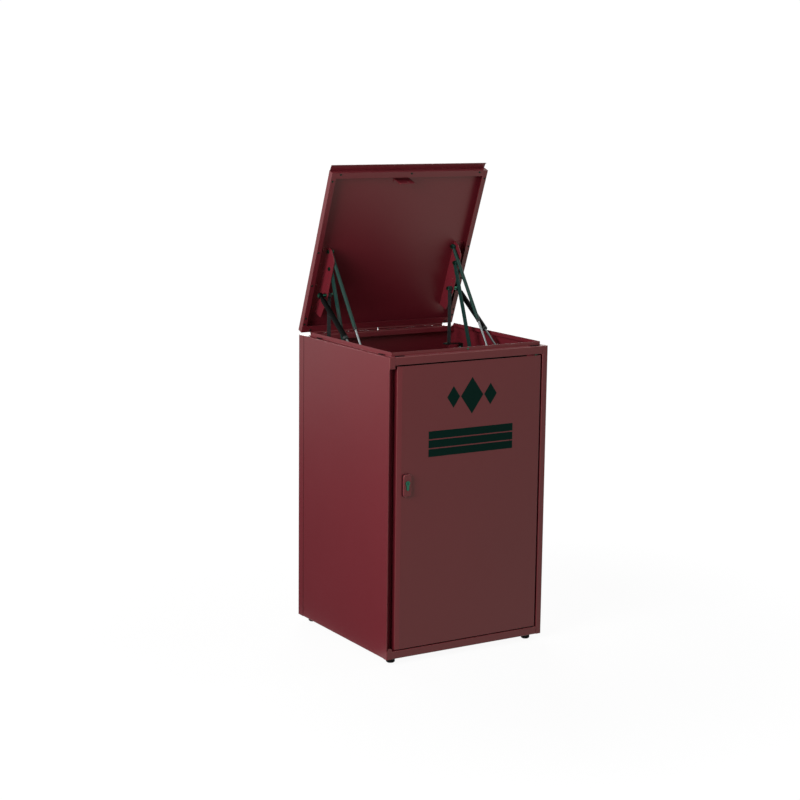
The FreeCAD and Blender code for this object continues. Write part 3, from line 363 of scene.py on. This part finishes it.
def lid_heads():
    """Real heads for the screws of the lid's frame and the rivets of its brackets."""
    for node, head, form, slot, material in (
            ("lid_frame_screws", FRAME_HEAD, PAN_HEAD, "plated_steel", SCREW_STEEL),
            ("bracket_rivets", RIVET_HEAD, DOME_HEAD, "red_coat", WINE_COAT)):
        feet = [middle - LID_UNDER * (head[1] / 2) for middle in islands(node)]
        piece = add_heads(node + "_heads", feet, LID_UNDER, head, "lid", slot, form, material)
        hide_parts(node)


# Lid hinges: shares of a leaf's length where its screws sit, and the rows' places on the two leaves
HINGE_SCREWS = (0.1, 0.37, 0.63, 0.9)
LEAF_THICK = 1.8 * MM
LEDGE_ROW_IN = 7 * MM
LID_ROW_IN = 2.7 * MM
LID_ROW_RISE = 12.5 * MM


def hinge_screws():
    """Flat-headed screws of the lid hinges, on the body's ledge and on the lid's rear edge."""
    lid_row = LID_PIN + LID_TURN @ Vector((0, -LID_ROW_IN, LID_ROW_RISE))
    for side in SIDES:
        leaf = "hinge_body_leaf_" + side
        near, far = low(leaf), high(leaf)
        spots = [near.x + (far.x - near.x) * share for share in HINGE_SCREWS]
        on_ledge = [(x, near.y + LEDGE_ROW_IN, RIM + LEAF_THICK) for x in spots]
        add_heads(leaf + "_screws", on_ledge, (0, 0, 1), LEDGE_HEAD, "cabinet")
        on_lid = [(x, lid_row.y, lid_row.z) for x in spots]
        add_heads("hinge_lid_leaf_" + side + "_screws", on_lid, LID_BACK, LEAF_HEAD, "lid")


# Wall fittings: thickness of their plates and places of their screws
FOOT_PLATE = 3 * MM
FOOT_SCREW_INSET = 8 * MM
ANCHOR_PLATE = 2.5 * MM
ANCHOR_SCREW_RISES = (9 * MM, 25 * MM)


def wall_screws():
    """Screws that hold the spring feet and the strap anchors to the side walls."""
    for side, inward in zip(SIDES, (1, -1)):
        foot = "gas_spring_foot_" + side
        near, far = low(foot), high(foot)
        face = (near.x if inward > 0 else far.x) + inward * FOOT_PLATE
        depths = (near.y + FOOT_SCREW_INSET, far.y - FOOT_SCREW_INSET)
        rises = (near.z + FOOT_SCREW_INSET, far.z - FOOT_SCREW_INSET)
        corners = [(face, y, z) for y in depths for z in rises]
        add_heads(foot + "_screws", corners, (inward, 0, 0), WALL_HEAD, "cabinet")
        anchor = "strap_anchor_" + side
        near, far = low(anchor), high(anchor)
        face = (near.x if inward > 0 else far.x) + inward * ANCHOR_PLATE
        middle = (near.y + far.y) / 2
        spots = [(face, middle, near.z + rise) for rise in ANCHOR_SCREW_RISES]
        add_heads(anchor + "_screws", spots, (inward, 0, 0), WALL_HEAD, "cabinet")


# Front rail: place of the collar's face and of its screw above the rim
COLLAR_IN = 20 * MM
COLLAR_SCREW_RISE = 7.5 * MM


def rail_screw():
    """The one screw in the middle of the front rail's collar."""
    place = (0.0, low("top_front_rail").y + COLLAR_IN, RIM + COLLAR_SCREW_RISE)
    add_heads("front_rail_screw", [place], (0, -1, 0), RAIL_HEAD, "cabinet")


# Seams between the side panels and the rear panel's wraps
SEAM_WIDE = 2.4 * MM
SEAM_PROUD = 0.1 * MM
SEAM_FOOT = 3 * MM
SEAM_HEAD = 4 * MM

# Door seal, under the top rail and behind the closed door's upper edge
DOOR_TOP_GAP = 4 * MM
SEAL_CLEAR = 1 * MM
SEAL_WIDE = 4.5 * MM
SEAL_DROP = 11 * MM
SEAL_START = 12 * MM
SEAL_END = 30 * MM

# Rounding of a strip's edges, as a share of its thickness
STRIP_ROUND = 0.3
STRIP_SEGMENTS = 3


def add_strip(name, near, far, material):
    """Straight strip with rounded edges between two corners, on the cabinet."""
    work = bmesh.new()
    bmesh.ops.create_cube(work, size=1.0)
    size = far - near
    spread = Matrix.Diagonal((*size, 1.0))
    bmesh.ops.transform(work, matrix=Matrix.Translation((near + far) / 2) @ spread, verts=work.verts)
    bmesh.ops.bevel(work, geom=work.edges[:], offset=STRIP_ROUND * min(size), segments=STRIP_SEGMENTS,
                    profile=0.5, affect="EDGES")
    add_piece(name, work, "cabinet", "black_rubber", material)


def seam_shade_lines():
    """A dark strip in each upright seam, hardly proud of the sheets: the joint's line, with the shade of its gap
    painted in.
    """
    seam = low("rear_panel")
    half = SEAM_WIDE / 2
    for side, face in zip(SIDES, (BODY_LEFT, BODY_RIGHT)):
        near = Vector((face - SEAM_PROUD, seam.y - half, seam.z + SEAM_FOOT))
        far = Vector((face + SEAM_PROUD, seam.y + half, RIM - SEAM_HEAD))
        add_strip("seam_shade_line_" + side, near, far, SEAM_SHADE)


def door_seal():
    """A rubber strip that closes the gap above the door. It stops short of the door's hinge."""
    back = high("door_panel").y + SEAL_CLEAR
    under = high("door_panel").z + DOOR_TOP_GAP
    hinge_end = JOINTS["door_hinge"]["pos_m"][0] - SEAL_END
    near = Vector((low("top_front_rail").x + SEAL_START, back, under - SEAL_DROP))
    far = Vector((hinge_end, back + SEAL_WIDE, under))
    add_strip("door_seal", near, far, RUBBER)


# Guide caps where the rods come out of their tubes
ROD_BORE = 4.4 * MM
CAP_HOLD = 9 * MM
CAP_SEGMENTS = 32

# Each kind of cap: body, pivot, a node on the tube's line, distance from the pivot, radius
CAPS = (
    ("spring_tube_", "spring_pivot_", "gas_spring_rod_", 230 * MM, 10 * MM),
    ("lift_rod_", "lift_rod_pivot_", "lift_rod_tube_", 312 * MM, 7 * MM),
)


def cap_profile(outer):
    """Section of a cap: a collar on the tube that closes in a cone round the rod."""
    return [(ROD_BORE, 0.0), (outer - 0.6 * MM, 0.0), (outer, 0.6 * MM), (outer, 8.4 * MM),
            (outer - 0.5 * MM, 9.2 * MM), (outer - 2.0 * MM, 11.5 * MM),
            (ROD_BORE + 0.4 * MM, 11.9 * MM), (ROD_BORE, 11.5 * MM), (ROD_BORE, 0.0)]


def rod_caps():
    """Nylon caps on the gas springs and the lift rods."""
    for side in SIDES:
        for tube, pivot, node, reach, outer in CAPS:
            top = Vector(JOINTS[pivot + side]["pos_m"])
            middle = (low(node + side) + high(node + side)) / 2
            line = (Vector((0, *middle.yz)) - Vector((0, *top.yz))).normalized()
            start = top + line * (reach - CAP_HOLD)
            work = bmesh.new()
            lathe(work, cap_profile(outer), start, line, CAP_SEGMENTS)
            add_piece(tube + side + "_cap", work, tube + side, "dark_nylon")


# Check straps: webbing sewn into a loop at the top and folded under the anchor's screw at the foot
STRAP_THICK = 1.6 * MM
STRAP_EASE = 0.5 * MM
LOOP_R = 7.3 * MM
LOOP_REACH = 8.3 * MM
LOOP_FROM_DEG = -105
LOOP_TURN_DEG = -330
NECK = LOOP_R + 2 * MM
SEWN = 34 * MM
TAB = 29 * MM
TAB_MIDDLE = 0.6
TAB_SCREW = 0.62
FOOT_BEND = 4 * MM

# Steps of the strap's stretches
BEND_STEPS = 6
RISE_STEPS = 12
LOOP_STEPS = 24
SEWN_STEPS = 5

# Stitches: half their length, thickness and width, and their places in shares of the sewn end
STITCH_HALF = (1.3 * MM, 0.35 * MM, 0.35 * MM)
STITCH_COLUMNS = (0.2, 0.4, 0.6, 0.8)
STITCH_ROWS = (0.12, 0.3, 0.48, 0.66, 0.84)


def strap_route(y, loop_z, foot_z):
    """Middle line of the strap: from the tab up, round the loop and down the sewn end."""
    half = STRAP_THICK / 2
    lift = foot_z + half
    route = [(y + TAB, lift), (y + TAB * TAB_MIDDLE, lift), (y + FOOT_BEND, lift)]
    for i in range(1, BEND_STEPS + 1):
        share = i / BEND_STEPS
        a = math.radians(90 * share)
        bend_y = y + FOOT_BEND * (1 - math.sin(a)) - half * share
        route.append((bend_y, lift + FOOT_BEND * (1 - math.cos(a))))
    neck = loop_z - NECK
    rise_from = lift + FOOT_BEND
    for i in range(1, RISE_STEPS + 1):
        route.append((y - half, rise_from + (neck - rise_from) * i / RISE_STEPS))
    for i in range(1, LOOP_STEPS):
        a = math.radians(LOOP_FROM_DEG + LOOP_TURN_DEG * i / LOOP_STEPS)
        route.append((y + LOOP_R * math.cos(a), loop_z + LOOP_R * math.sin(a)))
    for i in range(SEWN_STEPS + 1):
        route.append((y + half, neck - SEWN * i / SEWN_STEPS))
    return route


def sweep_band(work, route, x0, x1):
    """Flat band with eased edges along a route in the plane across X."""
    half = STRAP_THICK / 2
    inner0 = x0 + STRAP_EASE
    inner1 = x1 - STRAP_EASE
    section = [(x0, -half / 2), (inner0, -half), (inner1, -half), (x1, -half / 2),
               (x1, half / 2), (inner1, half), (inner0, half), (x0, half / 2)]
    rings = []
    for i, (y, z) in enumerate(route):
        before = Vector(route[max(i - 1, 0)])
        after = Vector(route[min(i + 1, len(route) - 1)])
        along = (after - before).normalized()
        side = Vector((-along.y, along.x))
        rings.append([work.verts.new((x, y + side.x * t, z + side.y * t)) for x, t in section])
    count = len(section)
    for lower, upper in zip(rings, rings[1:]):
        for i in range(count):
            work.faces.new((lower[i], lower[(i + 1) % count], upper[(i + 1) % count], upper[i]))
    work.faces.new(rings[0][::-1])
    work.faces.new(rings[-1])


def add_stitches(work, x0, x1, y, top):
    """Rows of thread across the sewn end, on both faces, standing a little proud."""
    first = len(work.faces)
    size = Matrix.Diagonal((*STITCH_HALF, 1))
    for face_y in (y - STRAP_THICK, y + STRAP_THICK):
        for row in STITCH_ROWS:
            for column in STITCH_COLUMNS:
                place = Matrix.Translation((x0 + (x1 - x0) * column, face_y, top - SEWN * row))
                lump = bmesh.ops.create_icosphere(work, subdivisions=1, radius=1.0)
                bmesh.ops.transform(work, matrix=place @ size, verts=lump["verts"])
    work.faces.ensure_lookup_table()
    for face in work.faces[first:]:
        face.material_index = 1


def check_straps():
    """The two straps: the foot on the anchor, the loop at the bolt on the lid."""
    for side in SIDES:
        node = "check_strap_" + side
        near, far = low(node), high(node)
        middle = (near.x + far.x) / 2
        y = near.y + LOOP_REACH
        loop_z = far.z - LOOP_REACH
        neck = loop_z - NECK
        work = bmesh.new()
        sweep_band(work, strap_route(y, loop_z, near.z), near.x, far.x)
        add_stitches(work, near.x, far.x, y, neck)
        piece = add_piece(node + "_webbing", work, None, "webbing")
        piece.data.materials.append(THREAD)
        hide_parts(node)
        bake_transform(piece)
        screw_at = (middle, y + TAB * TAB_SCREW, near.z + STRAP_THICK)
        add_heads(node + "_screw", [screw_at], (0, 0, 1), STRAP_HEAD, "cabinet")


# Door print: a plain design of lozenges over a barred field, set out from the body's left and the rim
PRINT_MIDDLE = 333 * MM
LOZENGE_DOWN = 152 * MM
LOZENGE_STEP = 76 * MM
LOZENGE_BIG = (46 * MM, 64 * MM)
LOZENGE_SMALL = (26 * MM, 38 * MM)
FIELD_LEFT = 158 * MM
FIELD_RIGHT = 505 * MM
FIELD_TOP = 264 * MM
FIELD_BOTTOM = 353 * MM
BAR_COUNT = 3
BAR_GAP = 4 * MM
INK_PROUD = 0.15 * MM
INK_THICK = 0.135 * MM


def add_patch(work, outline):
    """Thin patch of ink on the door's face, with an outline of (across, down)."""
    front = DOOR_FACE - INK_PROUD
    corners = [(BODY_LEFT + across, front, RIM - down) for across, down in outline]
    face = work.faces.new([work.verts.new(corner) for corner in corners])
    back = bmesh.ops.extrude_face_region(work, geom=[face])
    moved = [v for v in back["geom"] if isinstance(v, bmesh.types.BMVert)]
    bmesh.ops.translate(work, verts=moved, vec=(0, INK_THICK, 0))


def lozenge(across, down, half):
    """Outline of a lozenge about its middle, from half its width and height."""
    wide, tall = half
    return [(across - wide, down), (across, down + tall), (across + wide, down), (across, down - tall)]


def door_print():
    """Three lozenges over a field of bars."""
    work = bmesh.new()
    add_patch(work, lozenge(PRINT_MIDDLE, LOZENGE_DOWN, LOZENGE_BIG))
    for way in (-1, 1):
        add_patch(work, lozenge(PRINT_MIDDLE + way * LOZENGE_STEP, LOZENGE_DOWN, LOZENGE_SMALL))
    pitch = (FIELD_BOTTOM - FIELD_TOP + BAR_GAP) / BAR_COUNT
    for i in range(BAR_COUNT):
        upper = FIELD_TOP + i * pitch
        lower = upper + pitch - BAR_GAP
        add_patch(work, [(FIELD_LEFT, lower), (FIELD_RIGHT, lower), (FIELD_RIGHT, upper),
                         (FIELD_LEFT, upper)])
    add_piece("door_print", work, "door", "dark_coat", INK)


lid_heads()
hinge_screws()
wall_screws()
rail_screw()
seam_shade_lines()
door_seal()
rod_caps()
check_straps()
door_print()

# Floor and backdrop: white to the eye, with the box's shadow near it and little light of their own
FLOOR_HALF = 14.0
FLOOR_BOUNCE = "#4c4c4c"
FLOOR_SEEN = "#f4f4f4"
SHADOW_R = 0.9
WHITE_R = 2.2
SHADOW_WHITE = 0.92
WHITE_LEVEL = 1.02
AMBIENT_LEVEL = 0.05

# Flag on the floor
FLAG_AT = (-2.1, 2.2, 0.004)
FLAG_HALF = (1.75, 2.4)

# Lamps: name, place, point that it is aimed at, width and height, power in watts
LAMPS = (
    ("window_left", (-4.05, -1.4, 2.1), (0.0, 0.0, 0.8), (2.4, 2.4), 198),
    ("fill_right", (3.4, -4.2, 3.0), (0.0, 0.0, 0.8), (2.0, 2.0), 3),
    ("high_right", (2.2, -0.5, 4.4), (0.0, 0.0, 1.0), (1.0, 1.0), 22),
    ("high_rear", (-0.3, 3.6, 3.4), (0.0, 0.0, 1.0), (1.0, 1.0), 30),
    ("rear_fill", (1.6, 3.6, 1.8), (0.0, 0.0, 0.8), (2.0, 2.0), 90),
    ("front_card", (-0.3, -1.1, 1.8), (0.0, 0.2, 1.3), (0.8, 0.4), 1.2),
)


def seen_plainly(tree):
    """1 for rays from the camera, a gloss or a clear surface, which see the white background."""
    path = put(tree, "LightPath")
    seen = put(tree, "Math", {0: path.outputs["Is Camera Ray"], 1: path.outputs["Is Glossy Ray"]},
               operation="MAXIMUM")
    return put(tree, "Math", {0: seen.outputs["Value"], 1: path.outputs["Is Transmission Ray"]},
               operation="MAXIMUM").outputs["Value"]


def white_floor():
    """Pale floor that takes the box's shadow near it and shows white further out."""
    material, tree, shader = new_material("white_floor")
    plain = seen_plainly(tree)
    tone = put(tree, "Mix", {"Factor": plain, "A": linear(FLOOR_BOUNCE), "B": linear(FLOOR_SEEN)},
               data_type="RGBA")
    set_shader(shader, tree, Base_Color=tone.outputs["Result"], Roughness=0.9, Specular_IOR_Level=0.1)
    place = put(tree, "TexCoord").outputs["Object"]
    reach = put(tree, "VectorMath", {0: place}, operation="LENGTH")
    share = put(tree, "MapRange", {"Value": reach.outputs["Value"], "From Min": SHADOW_R,
                                   "From Max": WHITE_R, "To Min": SHADOW_WHITE, "To Max": 1.0},
                interpolation_type="SMOOTHSTEP")
    white = put(tree, "Math", {0: share.outputs["Result"], 1: plain}, operation="MULTIPLY")
    glow = put(tree, "Emission", {"Color": linear("#ffffff"), "Strength": WHITE_LEVEL})
    both = put(tree, "MixShader", {"Fac": white.outputs["Value"], 1: shader.outputs["BSDF"],
                                   2: glow.outputs["Emission"]})
    tree.links.new(both.outputs["Shader"], tree.nodes["Material Output"].inputs["Surface"])
    return material


def build_stage():
    """The floor and the white world round it."""
    grid = bmesh.new()
    bmesh.ops.create_grid(grid, x_segments=4, y_segments=4, size=FLOOR_HALF)
    to_object("floor", grid, white_floor())
    world = bpy.data.worlds.new("studio")
    bpy.context.scene.world = world
    world.use_nodes = True
    tree = world.node_tree
    level = put(tree, "MapRange", {"Value": seen_plainly(tree), "To Min": AMBIENT_LEVEL,
                                   "To Max": WHITE_LEVEL})
    sky = tree.nodes["Background"]
    sky.inputs["Color"].default_value = linear("#ffffff")
    tree.links.new(level.outputs["Result"], sky.inputs["Strength"])


def add_flag():
    """Grey studio flag at the left rear: it keeps the floor's glare off the left side's sheen."""
    board = bmesh.new()
    bmesh.ops.create_grid(board, x_segments=2, y_segments=2, size=1.0)
    spread = Matrix.Translation(FLAG_AT) @ Matrix.Diagonal((*FLAG_HALF, 1.0, 1.0))
    bmesh.ops.transform(board, matrix=spread, verts=board.verts)
    material, tree, shader = new_material("grey_flag_cloth")
    set_shader(shader, tree, Base_Color=linear("#6a6a6a"), Roughness=1.0, Specular_IOR_Level=0.0)
    flag = to_object("studio_flag", board, material)
    flag.visible_camera = False
    flag.visible_diffuse = False
    flag.visible_shadow = False


def add_light(name, at, aim, size, power):
    """Soft rectangular lamp that the camera doesn't see."""
    lamp = bpy.data.lights.new(name, "AREA")
    lamp.shape = "RECTANGLE"
    lamp.size, lamp.size_y = size
    lamp.energy = power
    holder = bpy.data.objects.new(name, lamp)
    holder.location = at
    holder.rotation_mode = "QUATERNION"
    holder.rotation_quaternion = (Vector(aim) - Vector(at)).to_track_quat("-Z", "Y")
    holder.visible_camera = False
    bpy.context.scene.collection.objects.link(holder)


def add_camera():
    """Camera at the photograph's viewing angle."""
    lens = bpy.data.cameras.new("camera")
    lens.sensor_width = SENSOR
    lens.lens = CAMERA_LENS
    camera = bpy.data.objects.new("camera", lens)
    turn = (Matrix.Rotation(CAMERA_TURN, 4, "Z") @ Matrix.Rotation(CAMERA_TILT, 4, "X")
            @ Matrix.Rotation(CAMERA_ROLL, 4, "Z"))
    camera.matrix_world = Matrix.Translation(CAMERA_AT) @ turn
    bpy.context.scene.collection.objects.link(camera)
    bpy.context.scene.camera = camera


bpy.context.scene.view_settings.view_transform = "Standard"
build_stage()
for lamp_row in LAMPS:
    add_light(*lamp_row)
add_flag()
add_camera()
